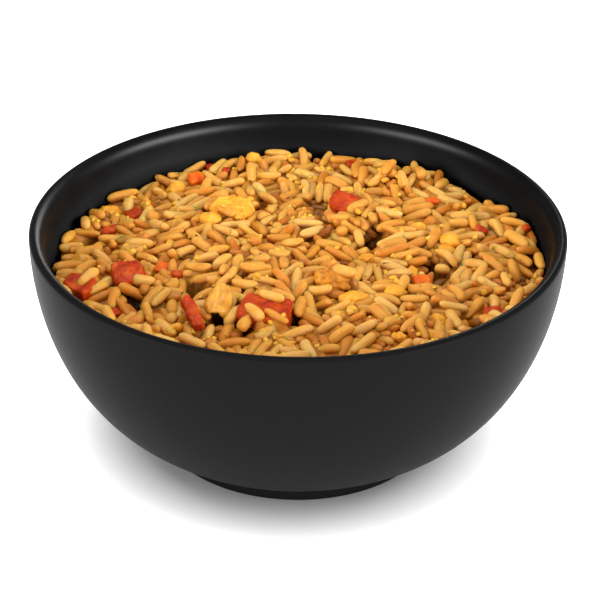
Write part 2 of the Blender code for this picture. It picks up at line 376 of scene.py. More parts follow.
def top_of(c, u, half, base, lift=0.0):
    """Height of the grains' upper side on the grid, at least base."""
    out = base.copy()
    off = np.linspace(-1, 1, 9)
    p = (c[:, None] + off[None, :, None] * half[:, None, None] * u[:, None]).reshape(-1, 3)
    rad = 1.6
    reach = int(math.ceil(rad / GRID))
    ix0 = np.round((p[:, 0] + HALF) / GRID).astype(int)
    iy0 = np.round((p[:, 1] + HALF) / GRID).astype(int)
    for dy in range(-reach, reach + 1):
        for dx in range(-reach, reach + 1):
            ix, iy = ix0 + dx, iy0 + dy
            ok = (ix >= 0) & (iy >= 0) & (ix < len(AX)) & (iy < len(AX))
            ex = AX[np.clip(ix, 0, len(AX) - 1)] - p[:, 0]
            ey = AX[np.clip(iy, 0, len(AX) - 1)] - p[:, 1]
            h2 = rad * rad - ex * ex - ey * ey
            ok &= h2 > 0
            np.maximum.at(out, (iy[ok], ix[ok]), p[ok, 2] + np.sqrt(h2[ok]) * 0.88 + lift)
    return out


def balls_in_node(name, r=1.7):
    """Fixed balls that fill a CAD piece."""
    tree = tree_of(name)
    lo, hi = (np.array(v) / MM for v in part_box(name))
    pts = []
    for x in np.arange(lo[0] + 0.8, hi[0], 1.5):
        for y in np.arange(lo[1] + 0.8, hi[1], 1.5):
            for z in np.arange(lo[2] + 0.6, hi[2], 1.3):
                q = Vector((x * MM, y * MM, z * MM))
                near, nrm, _, dist = tree.find_nearest(q)
                inside = (q - near).dot(nrm) < 0
                if inside and dist > 0.9 * MM:
                    pts.append((x, y, z, min(dist / MM, r)))
    if not pts:
        cx = (lo + hi) / 2
        pts.append((*cx, 1.5))
    return np.array(pts)


# ------------------------------------------------------- shapes of the grains
AROUND, RINGS = 12, 10


def grain_template():
    t = -np.cos(np.pi * (np.arange(RINGS) + 1) / (RINGS + 1))
    th = np.arange(AROUND) * 2 * np.pi / AROUND
    tt, hh = np.meshgrid(t, th, indexing="ij")
    t_all = np.concatenate([tt.ravel(), [-1.0, 1.0]])
    h_all = np.concatenate([hh.ravel(), [0.0, 0.0]])
    quads, tris = [], []
    for i in range(RINGS - 1):
        for j in range(AROUND):
            k = (j + 1) % AROUND
            quads.append((i * AROUND + j, i * AROUND + k, (i + 1) * AROUND + k, (i + 1) * AROUND + j))
    lo, hi = RINGS * AROUND, RINGS * AROUND + 1
    for j in range(AROUND):
        k = (j + 1) % AROUND
        tris.append((k, j, lo))
        tris.append(((RINGS - 1) * AROUND + j, (RINGS - 1) * AROUND + k, hi))
    return t_all, h_all, np.array(quads), np.array(tris)


T_ALL, H_ALL, G_QUADS, G_TRIS = grain_template()


def grain_arrays(c, u, half, rng):
    """Vertices (n, m, 3) of grains with their own length, bend, taper and creases."""
    n = len(c)
    t, th = T_ALL[None], H_ALL[None]
    length = (half + BALL)[:, None] * 1.03
    wide = rng.normal(1.61, 0.14, n).clip(1.25, 1.95)[:, None]
    thick = wide * rng.uniform(0.84, 0.98, n)[:, None]
    # each end has its own taper
    power = np.where(t < 0, rng.uniform(2.4, 5.2, n)[:, None], rng.uniform(2.4, 5.2, n)[:, None])
    taper = rng.uniform(-0.15, 0.15, n)[:, None]
    prof = (1 - np.abs(t) ** power) ** (1 / 2.2)
    prof = prof * (1 + taper * t) * (1 - 0.03 * np.cos(rng.uniform(0, 6.28, (n, 1)) + t * 5))
    prof[:, np.abs(T_ALL) >= 1.0] = 0.0
    # faint creases along the grain, and slow dents
    ph = rng.uniform(0, 6.28, (n, 4))
    crease = 1 - 0.05 * np.exp(-((np.angle(np.exp(1j * (th - ph[:, :1]))) / 0.34) ** 2))
    dents = 1 + 0.045 * np.sin(2 * th + ph[:, 1:2] + 1.2 * t) + 0.03 * np.sin(4 * th + ph[:, 2:3] - 0.9 * t)
    rad = prof * crease * dents
    bend = rng.normal(0.0, 0.32, n)[:, None]
    side_bend = rng.normal(0.0, 0.24, n)[:, None]
    lx = t * length
    ly = rad * wide * np.cos(th) + side_bend * (t * t - 0.33)
    lz = rad * thick * np.sin(th) + bend * (t * t - 0.33)
    # local axes: u along, w mostly up
    roll = rng.normal(0, 0.5, n)
    up = np.tile(np.array([0, 0, 1.0]), (n, 1))
    v = np.cross(up, u)
    v /= np.maximum(np.linalg.norm(v, axis=1)[:, None], 1e-6)
    w = np.cross(u, v)
    cr, sr = np.cos(roll)[:, None], np.sin(roll)[:, None]
    v2, w2 = v * cr + w * sr, w * cr - v * sr
    return (c[:, None] + lx[..., None] * u[:, None] + ly[..., None] * v2[:, None]
            + lz[..., None] * w2[:, None])


def grain_uvs(n):
    """One cell of a square map for each grain, as per-corner places."""
    cols = int(math.ceil(math.sqrt(n)))
    m = len(T_ALL)
    v_ring = (np.arange(RINGS) + 1.0) / (RINGS + 1)
    quv, tuv = [], []
    for i in range(RINGS - 1):
        for j in range(AROUND):
            quv.append([(j / AROUND, v_ring[i]), ((j + 1) / AROUND, v_ring[i]),
                        ((j + 1) / AROUND, v_ring[i + 1]), (j / AROUND, v_ring[i + 1])])
    for j in range(AROUND):
        tuv.append([((j + 1) / AROUND, v_ring[0]), (j / AROUND, v_ring[0]), ((j + 0.5) / AROUND, 0.0)])
        tuv.append([(j / AROUND, v_ring[-1]), ((j + 1) / AROUND, v_ring[-1]), ((j + 0.5) / AROUND, 1.0)])
    quv, tuv = np.array(quv), np.array(tuv)
    cell = 1.0 / cols
    ox = (np.arange(n) % cols) * cell
    oy = (np.arange(n) // cols) * cell
    pad = 0.06

    def place(uv):
        uv = uv * (1 - 2 * pad) + pad
        out = uv[None] * cell
        out = out + np.stack([ox, oy], 1)[:, None, None]
        return out.reshape(-1, 2)
    return np.concatenate([place(quv), place(tuv)])


def make_grains(name, c, u, half, tone, low, seed):
    rng = np.random.default_rng(seed)
    v = grain_arrays(c, u, half, rng)
    n, m = v.shape[:2]
    base = (np.arange(n) * m)[:, None, None]
    quads = (G_QUADS[None] + base).reshape(-1, 4)
    tris = (G_TRIS[None] + base).reshape(-1, 3)
    ob = mesh_from_arrays(name, v.reshape(-1, 3), quads, tris)
    me = ob.data
    at = me.attributes.new("tone", "FLOAT", "POINT")
    at.data.foreach_set("value", np.repeat(tone, m).astype(np.float32))
    at = me.attributes.new("along", "FLOAT", "POINT")
    at.data.foreach_set("value", np.tile(np.abs(T_ALL), n).astype(np.float32))
    at = me.attributes.new("low", "FLOAT", "POINT")
    at.data.foreach_set("value", np.repeat(low, m).astype(np.float32))
    # the grain's own coordinates: round it, along it, and which grain it is
    own = np.stack([np.tile(np.cos(H_ALL), n), np.tile(np.sin(H_ALL), n),
                    0.3 * np.tile(T_ALL, n) + np.repeat(rng.uniform(0, 400, n), m)], 1)
    at = me.attributes.new("own", "FLOAT_VECTOR", "POINT")
    at.data.foreach_set("vector", own.astype(np.float32).ravel())
    uv = me.uv_layers.new(name="OFBake")
    got = grain_uvs(n)
    uv.data.foreach_set("uv", got.astype(np.float32).ravel())
    return ob


# --------------------------------------------------------------- node helpers
def new_material(name):
    mat = bpy.data.materials.new(name)
    mat.use_nodes = True
    nt = mat.node_tree
    nt.nodes.clear()
    out = nt.nodes.new("ShaderNodeOutputMaterial")
    bsdf = nt.nodes.new("ShaderNodeBsdfPrincipled")
    nt.links.new(bsdf.outputs[0], out.inputs[0])
    return mat, nt, bsdf


def node(nt, kind, **props):
    n = nt.nodes.new(kind)
    for k, v in props.items():
        if k.startswith("in_"):
            n.inputs[int(k[3:])].default_value = v
        else:
            setattr(n, k, v)
    return n


def attribute(nt, name):
    return node(nt, "ShaderNodeAttribute", attribute_name=name).outputs["Fac"]


def coords(nt, kind="Object"):
    return node(nt, "ShaderNodeTexCoord").outputs[kind]


def noise_tex(nt, vec, scale, detail=3.0, rough=0.5, distortion=0.0):
    n = node(nt, "ShaderNodeTexNoise")
    n.inputs["Scale"].default_value = scale
    n.inputs["Detail"].default_value = detail
    n.inputs["Roughness"].default_value = rough
    n.inputs["Distortion"].default_value = distortion
    nt.links.new(vec, n.inputs["Vector"])
    return n.outputs["Fac"]


def map_range(nt, val, a, b, c, d, smooth=False):
    n = node(nt, "ShaderNodeMapRange")
    if smooth:
        n.interpolation_type = "SMOOTHSTEP"
    nt.links.new(val, n.inputs["Value"])
    for i, x in zip(("From Min", "From Max", "To Min", "To Max"), (a, b, c, d)):
        n.inputs[i].default_value = x
    return n.outputs[0]


def ramp(nt, val, stops):
    n = node(nt, "ShaderNodeValToRGB")
    el = n.color_ramp.elements
    while len(el) < len(stops):
        el.new(0.5)
    for e, (pos, col) in zip(el, stops):
        e.position = pos
        e.color = (*col, 1.0)
    nt.links.new(val, n.inputs[0])
    return n.outputs[0]


def mix(nt, fac, a, b, blend="MIX"):
    n = node(nt, "ShaderNodeMix", data_type="RGBA", blend_type=blend)
    for sock, val in ((0, fac), (6, a), (7, b)):
        if isinstance(val, (int, float)):
            n.inputs[sock].default_value = val
        elif isinstance(val, tuple):
            n.inputs[sock].default_value = (*val, 1.0)
        else:
            nt.links.new(val, n.inputs[sock])
    return n.outputs[2]


def maths(nt, op, a, b=0.0):
    n = node(nt, "ShaderNodeMath", operation=op)
    for i, val in enumerate((a, b)):
        if isinstance(val, (int, float)):
            n.inputs[i].default_value = val
        else:
            nt.links.new(val, n.inputs[i])
    return n.outputs[0]


def bump(nt, height, strength, distance, under=None):
    n = node(nt, "ShaderNodeBump")
    n.inputs["Strength"].default_value = strength
    n.inputs["Distance"].default_value = distance
    nt.links.new(height, n.inputs["Height"])
    if under is not None:
        nt.links.new(under, n.inputs["Normal"])
    return n.outputs[0]


def set_in(bsdf, **vals):
    for k, v in vals.items():
        bsdf.inputs[k.replace("_", " ")].default_value = v


# ------------------------------------------------------------------ materials
def rice_material(name, stops, wet, under_shade=0.25):
    mat, nt, b = new_material(name)
    co = coords(nt)
    tone = attribute(nt, "tone")
    along = attribute(nt, "along")
    own = node(nt, "ShaderNodeAttribute", attribute_name="own").outputs["Vector"]
    cloud = noise_tex(nt, co, 300.0, 2.0, 0.5)
    spot = noise_tex(nt, co, 1250.0, 2.0, 0.5)
    streak = noise_tex(nt, own, 2.6, 2.0, 0.5)
    mixed = maths(nt, "ADD", tone, map_range(nt, cloud, 0.3, 0.7, -0.20, 0.20))
    mixed = maths(nt, "ADD", mixed, map_range(nt, streak, 0.3, 0.7, -0.16, 0.16))
    col = ramp(nt, mixed, stops)
    # the ends are paler and more opaque than the body
    ends = map_range(nt, along, 0.70, 1.0, 0.0, 0.22, True)
    col = mix(nt, ends, col, (0.68, 0.42, 0.115))
    # painted shade: the downward-facing sides are darkened towards a sauce brown, by how far the normal points down
    geo = node(nt, "ShaderNodeNewGeometry")
    sep = node(nt, "ShaderNodeSeparateXYZ")
    nt.links.new(geo.outputs["Normal"], sep.inputs[0])
    under = map_range(nt, sep.outputs["Z"], 0.50, -0.35, 0.0, under_shade, True)
    col = mix(nt, under, col, (0.38, 0.098, 0.004))
    # painted shade: the deeper a grain lies under the others, the darker and redder it is painted
    low = attribute(nt, "low")
    col = mix(nt, map_range(nt, low, 0.0, 1.0, 0.0, 0.42), col, (0.32, 0.082, 0.003))
    # painted shade: grains seen down the deep gaps are painted nearly black-brown
    col = mix(nt, map_range(nt, low, 1.0, 2.0, 0.0, 0.80), col, (0.110, 0.027, 0.0010))
    stain = map_range(nt, spot, 0.62, 0.76, 0.0, 0.35, True)
    col = mix(nt, stain, col, (0.55, 0.200, 0.014))
    # a few dark specks of spice
    vor = node(nt, "ShaderNodeTexVoronoi")
    vor.inputs["Scale"].default_value = 420.0
    nt.links.new(co, vor.inputs["Vector"])
    speck = map_range(nt, vor.outputs["Distance"], 0.05, 0.09, 1.0, 0.0)
    rare = map_range(nt, noise_tex(nt, co, 190.0, 1.0), 0.60, 0.66, 0.0, 0.75)
    col = mix(nt, maths(nt, "MULTIPLY", speck, rare), col, (0.10, 0.05, 0.012))
    nt.links.new(col, b.inputs["Base Color"])
    # the deeper grains are wetter; their darker colour above is painted shade
    patch = map_range(nt, noise_tex(nt, co, 520.0, 2.0, 0.5), 0.32, 0.68, -0.08, 0.12)
    nt.links.new(maths(nt, "ADD", map_range(nt, low, 0.0, 1.0, wet, 0.20), patch), b.inputs["Roughness"])
    h = maths(nt, "ADD", maths(nt, "MULTIPLY", cloud, 0.25), maths(nt, "MULTIPLY", spot, 0.35))
    h = maths(nt, "ADD", h, maths(nt, "MULTIPLY", streak, 0.40))
    grit = noise_tex(nt, co, 3400.0, 1.0, 0.5)
    nt.links.new(bump(nt, h, 0.7, 0.00040, bump(nt, grit, 0.35, 0.00010)), b.inputs["Normal"])
    set_in(b, Subsurface_Weight=0.85, Subsurface_Radius=(1.0, 0.44, 0.10), Subsurface_Scale=0.0036,
           Specular_IOR_Level=0.21)
    return mat


PALE = [(0.0, (0.56, 0.225, 0.020)), (0.45, (0.64, 0.310, 0.044)), (1.0, (0.68, 0.395, 0.108))]
GOLD = [(0.0, (0.50, 0.176, 0.013)), (0.45, (0.60, 0.255, 0.028)), (1.0, (0.66, 0.340, 0.066))]
BROWN = [(0.0, (0.42, 0.130, 0.008)), (0.5, (0.55, 0.208, 0.020)), (1.0, (0.64, 0.290, 0.046))]


def core_material():
    mat, nt, b = new_material("rice_core")
    co = coords(nt)
    deep = attribute(nt, "deep")
    n1 = noise_tex(nt, co, 260.0, 4.0, 0.6)
    n2 = noise_tex(nt, co, 1100.0, 2.0)
    high = ramp(nt, n1, [(0.25, (0.34, 0.100, 0.005)), (0.5, (0.50, 0.180, 0.012)), (0.78, (0.66, 0.285, 0.030))])
    # painted shade: where the core lies deep it is painted near-black brown
    low = ramp(nt, n1, [(0.25, (0.020, 0.004, 0.0005)), (0.6, (0.08, 0.018, 0.001)), (0.8, (0.22, 0.060, 0.004))])
    nt.links.new(mix(nt, deep, high, low), b.inputs["Base Color"])
    nt.links.new(map_range(nt, n2, 0.3, 0.7, 0.20, 0.42), b.inputs["Roughness"])
    h = maths(nt, "ADD", maths(nt, "MULTIPLY", n1, 0.6), maths(nt, "MULTIPLY", n2, 0.4))
    nt.links.new(bump(nt, h, 0.7, 0.0007), b.inputs["Normal"])
    set_in(b, Subsurface_Weight=0.4, Subsurface_Radius=(1.0, 0.45, 0.12), Subsurface_Scale=0.0020,
           Specular_IOR_Level=0.20)
    return mat


def bowl_material():
    mat, nt, b = new_material("bowl_glaze")
    co = coords(nt)
    inside, lip, upper = attribute(nt, "inside"), attribute(nt, "lip"), attribute(nt, "upper")
    fine = noise_tex(nt, co, 2600.0, 2.0, 0.6)
    mid = noise_tex(nt, co, 90.0, 3.0, 0.5)
    col = mix(nt, map_range(nt, mid, 0.3, 0.7, 0.0, 1.0), (0.00030, 0.00030, 0.00031), (0.00055, 0.00055, 0.00057))
    col = mix(nt, inside, (0.0046, 0.0046, 0.0047), col)
    speck = map_range(nt, fine, 0.66, 0.76, 0.0, 0.5)
    col = mix(nt, speck, col, (0.0040, 0.0040, 0.0040))
    nt.links.new(col, b.inputs["Base Color"])
    r_out = map_range(nt, fine, 0.3, 0.7, 0.42, 0.48)
    r_in = map_range(nt, upper, 0.0, 1.0, 0.75, 0.37)
    r = node(nt, "ShaderNodeMix", data_type="FLOAT")
    nt.links.new(inside, r.inputs[0])
    nt.links.new(r_out, r.inputs[2])
    nt.links.new(r_in, r.inputs[3])
    r2 = node(nt, "ShaderNodeMix", data_type="FLOAT")
    nt.links.new(lip, r2.inputs[0])
    nt.links.new(r.outputs[0], r2.inputs[2])
    r2.inputs[3].default_value = 0.34
    nt.links.new(r2.outputs[0], b.inputs["Roughness"])
    h = maths(nt, "ADD", maths(nt, "MULTIPLY", fine, 0.5), maths(nt, "MULTIPLY", mid, 0.5))
    nt.links.new(bump(nt, h, 0.10, 0.00012), b.inputs["Normal"])
    set_in(b, Specular_IOR_Level=0.017)
    return mat


def pepper_material(name="red_pepper", dark=(0.24, 0.014, 0.001), body=(0.42, 0.038, 0.002), pale=(0.55, 0.105, 0.010)):
    mat, nt, b = new_material(name)
    co = coords(nt)
    n1 = noise_tex(nt, co, 260.0, 4.0, 0.55)
    n2 = noise_tex(nt, co, 1300.0, 2.0)
    col = ramp(nt, n1, [(0.28, dark), (0.5, body), (0.74, pale)])
    nt.links.new(col, b.inputs["Base Color"])
    nt.links.new(map_range(nt, n2, 0.3, 0.7, 0.30, 0.55), b.inputs["Roughness"])
    nt.links.new(bump(nt, n1, 0.35, 0.0005, bump(nt, n2, 0.3, 0.0002)), b.inputs["Normal"])
    set_in(b, Subsurface_Weight=0.35, Subsurface_Radius=(1.0, 0.2, 0.08), Subsurface_Scale=0.0018,
           Specular_IOR_Level=0.13)
    return mat


def egg_material(name="egg_curd", stops=None):
    mat, nt, b = new_material(name)
    co = coords(nt)
    n1 = noise_tex(nt, co, 420.0, 4.0, 0.6)
    n2 = noise_tex(nt, co, 1600.0, 3.0)
    stops = stops or [(0.25, (0.62, 0.235, 0.010)), (0.5, (0.75, 0.325, 0.020)), (0.75, (0.84, 0.430, 0.050))]
    col = ramp(nt, n1, stops)
    nt.links.new(col, b.inputs["Base Color"])
    nt.links.new(map_range(nt, n2, 0.3, 0.7, 0.38, 0.6), b.inputs["Roughness"])
    nt.links.new(bump(nt, n1, 0.5, 0.0006, bump(nt, n2, 0.4, 0.0002)), b.inputs["Normal"])
    set_in(b, Subsurface_Weight=0.4, Subsurface_Radius=(1.0, 0.5, 0.12), Subsurface_Scale=0.0016,
           Specular_IOR_Level=0.25)
    return mat


def onion_material():
    mat, nt, b = new_material("browned_onion")
    co = coords(nt)
    st = node(nt, "ShaderNodeMapping")
    st.inputs["Rotation"].default_value = (0.2, 0.3, 0.35)
    st.inputs["Scale"].default_value = (1.0, 0.16, 0.4)
    nt.links.new(co, st.inputs["Vector"])
    n1 = noise_tex(nt, st.outputs[0], 900.0, 2.0, 0.5)
    n2 = noise_tex(nt, co, 300.0, 3.0)
    col = ramp(nt, maths(nt, "ADD", maths(nt, "MULTIPLY", n1, 0.3), maths(nt, "MULTIPLY", n2, 0.7)),
               [(0.3, (0.44, 0.170, 0.012)), (0.5, (0.60, 0.270, 0.024)), (0.7, (0.72, 0.360, 0.048))])
    nt.links.new(col, b.inputs["Base Color"])
    nt.links.new(map_range(nt, n2, 0.3, 0.7, 0.2, 0.36), b.inputs["Roughness"])
    nt.links.new(bump(nt, n1, 0.25, 0.0003), b.inputs["Normal"])
    set_in(b, Subsurface_Weight=0.5, Subsurface_Radius=(1.0, 0.5, 0.15), Subsurface_Scale=0.0025,
           Specular_IOR_Level=0.3)
    return mat


def herb_material():
    mat, nt, b = new_material("herb")
    co = coords(nt)
    n1 = noise_tex(nt, co, 900.0, 3.0)
    col = ramp(nt, n1, [(0.3, (0.035, 0.030, 0.006)), (0.7, (0.12, 0.095, 0.016))])
    nt.links.new(col, b.inputs["Base Color"])
    nt.links.new(map_range(nt, n1, 0.3, 0.7, 0.35, 0.55), b.inputs["Roughness"])
    nt.links.new(bump(nt, n1, 0.4, 0.0002), b.inputs["Normal"])
    set_in(b, Specular_IOR_Level=0.2)
    return mat


def floor_material():
    mat, nt, b = new_material("floor_white")
    co = coords(nt)
    n1 = noise_tex(nt, co, 5.0, 2.0)
    col = mix(nt, n1, (0.97, 0.97, 0.97), (0.985, 0.985, 0.985))
    nt.links.new(col, b.inputs["Base Color"])
    set_in(b, Roughness=0.9, Specular_IOR_Level=0.1, Emission_Color=(1.0, 1.0, 1.0, 1.0), Emission_Strength=0.045)
    return mat


# ------------------------------------------------------- detailed single pieces
def detail_from_node(name, new_name, voxel, smooth_steps, amp, freq, amp2, freq2, seed, warp=0.0, ridges=None):
    """A finer mesh in the CAD piece's place, with its own dents, ridges and warp."""
    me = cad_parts[name].data.copy()
    ob = bpy.data.objects.new(new_name, me)
    bpy.context.scene.collection.objects.link(ob)
    me.materials.clear()
    mod = ob.modifiers.new("remesh", "REMESH")
    mod.mode = "VOXEL"
    mod.voxel_size = voxel * MM
    dg = bpy.context.evaluated_depsgraph_get()
    fine = bpy.data.meshes.new_from_object(ob.evaluated_get(dg))
    ob.modifiers.clear()
    ob.data = fine
    bpy.data.meshes.remove(me)
    bm = bmesh.new()
    bm.from_mesh(fine)
    for _ in range(smooth_steps):
        bmesh.ops.smooth_vert(bm, verts=bm.verts[:], factor=0.5, use_axis_x=True, use_axis_y=True, use_axis_z=True)
    bm.normal_update()
    moves = []
    for v in bm.verts:
        q = v.co / MM
        d = amp * noise.fractal(Vector((q.x / freq, q.y / freq, q.z / freq + seed)), 0.7, 2.0, 3)
        d += amp2 * noise.noise(Vector((q.x / freq2 + seed, q.y / freq2, q.z / freq2)))
        if ridges:
            turn, period, high = ridges
            a = math.radians(turn)
            across = -math.sin(a) * q.x + math.cos(a) * q.y + 0.35 * q.z
            across += 0.5 * noise.noise(Vector((q.x / 5, q.y / 5, seed)))
            d += high * math.sin(across * 2 * math.pi / period)
        move = v.normal * d
        if warp:
            k = noise.noise_vector(Vector((q.x / 6.5 + seed, q.y / 6.5, q.z / 6.5)))
            move += Vector((k.x, k.y, 0.35 * k.z)) * warp
        moves.append(v.co + move * MM)
    for v, co in zip(bm.verts, moves):
        v.co = co
    bm.to_mesh(fine)
    bm.free()
    fine.shade_smooth()
    return ob


def lump(length, width, thick, level, seed, soft, amp, freq, amp2=0.0, freq2=1.0):
    """Vertices and triangles of one uneven lump, centred on the origin, in mm."""
    bm = bmesh.new()
    bmesh.ops.create_icosphere(bm, subdivisions=level, radius=1.0)
    half = np.array([length, width, thick]) / 2
    co = np.array([v.co[:] for v in bm.verts])
    cube = co / np.abs(co).max(1)[:, None]
    shape = (co * soft + cube * (1 - soft)) * half
    out = []
    for p, n in zip(shape, co):
        q = Vector(p)
        d = amp * noise.noise(Vector((q.x / freq + seed, q.y / freq, q.z / freq)))
        if amp2:
            d += amp2 * noise.noise(Vector((q.x / freq2, q.y / freq2 + seed, q.z / freq2)))
        out.append(p + n * d)
    tris = np.array([[v.index for v in f.verts] for f in bm.faces])
    bm.free()
    return np.array(out), tris


def petal(length, width, thick, arch, seed, nu=44, nv=30):
    """A thin arched layer of onion, wider at one end, closed all round."""
    uu, vv = np.meshgrid(np.linspace(-1, 1, nu), np.linspace(-1, 1, nv), indexing="ij")
    wide = width / 2 * (1 - 0.22 * uu) * (1 - 0.45 * np.abs(uu) ** 3.2)
    wob = np.array([[noise.noise(Vector((a * 1.7 + seed, b * 1.4, 0.3))) for a, b in zip(ra, rb)]
                    for ra, rb in zip(uu, vv)])
    x = uu * length / 2 * (1 - 0.10 * vv ** 2) + 0.5 * wob
    y = vv * wide + 0.7 * np.roll(wob, 5, 0)
    z = arch * (1 - vv ** 2) - 0.9 * uu ** 2 + 0.9 * wob + 0.07 * np.sin(vv * 13 + 1.2 * uu + seed)
    t = thick / 2 * np.sqrt(np.clip(1 - np.abs(vv) ** 7, 0, 1)) * np.sqrt(np.clip(1 - np.abs(uu) ** 7, 0, 1))
    top, low = np.stack([x, y, z + t - arch / 2], -1), np.stack([x, y, z - t - arch / 2], -1)
    i, j = np.meshgrid(np.arange(nu - 1), np.arange(nv - 1), indexing="ij")
    a, b, c_, d = (q.ravel() for q in (i * nv + j, (i + 1) * nv + j, (i + 1) * nv + j + 1, i * nv + j + 1))
    up = np.concatenate([np.stack([a, b, c_], 1), np.stack([a, c_, d], 1)])
    # the rim's points are shared, so the two sides close on each other
    edge = (np.abs(uu.ravel()) > 0.999) | (np.abs(vv.ravel()) > 0.999)
    ids = np.arange(nu * nv)
    other = np.where(edge, ids, nu * nv + np.cumsum(~edge) - 1)
    down = other[up][:, ::-1]
    co = np.concatenate([top.reshape(-1, 3), low.reshape(-1, 3)[~edge]])
    return co, np.concatenate([up, down])


def rotation(turn, tilt_x, tilt_y):
    m = (Matrix.Rotation(math.radians(turn), 3, "Z") @ Matrix.Rotation(math.radians(tilt_x), 3, "X")
         @ Matrix.Rotation(math.radians(tilt_y), 3, "Y"))
    return np.array(m)


def join_lumps(name, parts, mat):
    cos, tris, base = [], [], 0
    for co, tr in parts:
        cos.append(co)
        tris.append(tr + base)
        base += len(co)
    ob = mesh_from_arrays(name, np.concatenate(cos), np.zeros((0, 4), int), np.concatenate(tris))
    ob.data.materials.append(mat)
    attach(ob, "root")
    return ob


# ============================================================ building the dish
make_camera()

bowl_out, bowl_in = make_bowl()
M_GLAZE = bowl_material()
for ob in (bowl_out, bowl_in):
    ob.data.materials.append(M_GLAZE)
    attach(ob, "root")
    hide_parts("bowl")

# --- large pieces, where the CAD has them
M_PEPPER = pepper_material()
M_ONION = onion_material()
M_EGG = egg_material()
M_BROWNED = egg_material("egg_browned", [(0.25, (0.38, 0.118, 0.005)), (0.5, (0.52, 0.188, 0.011)), (0.75, (0.68, 0.290, 0.026))])
for nm in ("pepper_front", "pepper_left", "pepper_back", "pepper_rim", "pepper_strip"):
    slim = nm == "pepper_strip"
    ob = detail_from_node(nm, nm + "_cut", 0.36, 2, 0.40, 2.8, 0.12, 1.0, len(nm) * 1.3, 0.5 if slim else 1.2)
    ob.data.materials.append(M_PEPPER)
    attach(ob, "root")
    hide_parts(nm)
low, high = (np.array(v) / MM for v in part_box("onion_front"))
co, tr = petal(12.6, 7.4, 1.2, 1.5, 5.1)
co = co @ rotation(80.0, 8.0, -16.0).T
co += (low + high) / 2 + np.array([0.0, 0.0, 0.8])
ob = mesh_from_arrays("onion_front_petal", co, np.zeros((0, 4), int), tr)
ob.data.materials.append(M_ONION)
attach(ob, "root")
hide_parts("onion_front")
for nm in ("egg_back_left", "egg_middle"):
    ob = detail_from_node(nm, nm + "_curd", 0.34, 4, 1.05, 3.2, 0.24, 1.2, len(nm) * 2.1, 2.2)
    ob.data.materials.append(M_BROWNED if nm == "egg_middle" else M_EGG)
    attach(ob, "root")
    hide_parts(nm)

# --- smaller pieces, by their place in the photo: kind, x, y, length, width,
#     thickness (mm), turn, tilt to the camera, tilt along, lift
SMALL = [
    ("carrot", 196, 179, 5.4, 4.6, 4.2, 20, 30, 0, 0.8),
    ("carrot", 162, 268, 4.6, 4.2, 3.6, -15, 25, 0, 0.6),
    ("carrot", 421, 280, 5.4, 3.6, 2.4, 10, 30, 0, 0.5),
    ("carrot", 431, 202, 5.2, 2.4, 1.8, 5, 20, 0, 0.6),
    ("egg", 104, 211, 7.6, 6.0, 5.0, 0, 10, 0, 0.8),
    ("egg", 176, 189, 6.8, 5.6, 4.6, 30, 10, 0, 0.8),
    ("egg", 210, 218, 7.4, 5.2, 3.6, -25, 15, 0, 0.6),
    ("egg", 450, 240, 6.4, 5.0, 3.4, -20, 15, 0, 0.6),
    ("egg", 352, 296, 8.8, 5.2, 3.2, 10, 10, 0, 0.3),
    ("egg", 366, 258, 5.2, 3.6, 3.0, 10, 10, 0, 0.5),
    ("egg", 417, 227, 5.6, 3.8, 3.0, 15, 10, 0, 0.3),
    ("egg", 446, 249, 6.0, 4.4, 3.4, -30, 10, 0, 0.4),
    ("egg", 394, 290, 6.0, 5.0, 4.2, 20, 15, 0, 0.4),
    ("egg", 360, 314, 3.8, 3.0, 3.2, 60, 15, 0, 0.5),
    ("egg", 399, 336, 5.0, 3.2, 2.6, -20, 15, 0, 0.5),
    ("egg", 437, 319, 4.6, 4.4, 3.8, 0, 15, 0, 0.4),
    ("egg", 412, 272, 3.2, 4.6, 2.8, 10, 15, 0, 0.5),
    ("egg", 253, 158, 5.6, 3.8, 3.6, 15, 15, 0, 0.6),
    ("egg", 176, 327, 4.0, 3.4, 3.0, -20, 15, 0, 0.4),
    ("egg", 395, 188, 3.6, 3.2, 2.8, 30, 15, 0, 0.4),
    ("pepper", 134, 214, 6.0, 5.4, 3.8, -60, 20, 0, 0.4),
    ("pepper", 110, 230, 7.2, 2.8, 2.4, 48, 15, 0, 0.5),
    ("pepper", 210, 168, 3.4, 2.8, 2.4, 15, 20, 0, 0.4),
    ("pepper", 226, 170, 2.6, 2.4, 2.0, 15, 20, 0, 0.4),
    ("pepper", 351, 164, 4.0, 3.4, 2.2, 20, 20, 0, 0.4),
    ("pepper", 481, 230, 4.2, 2.8, 2.0, -10, 20, 0, 0.5),
    ("pepper", 527, 228, 2.6, 2.4, 2.0, 40, 20, 0, 0.4),
    ("pepper", 493, 311, 6.2, 3.4, 2.8, 18, 20, 0, 0.4),
    ("pepper", 114, 312, 3.2, 3.0, 2.0, 30, 20, 0, 0.4),
    ("pepper", 176, 273, 4.2, 2.4, 2.0, -20, 20, 0, 0.2),
    ("onion", 176, 224, 7.4, 5.2, 3.0, 12, 20, 0, 0.4),
    ("onion", 82, 258, 7.0, 6.0, 2.6, -10, 20, 0, 0.4),
    ("onion", 150, 270, 3.4, 5.4, 2.4, 10, 40, 0, 0.8),
]
SOFT = {"carrot": 0.45, "pepper": 0.5, "egg": 0.85, "onion": 0.6}
AMP = {"carrot": 0.35, "pepper": 0.45, "egg": 0.75, "onion": 0.45}

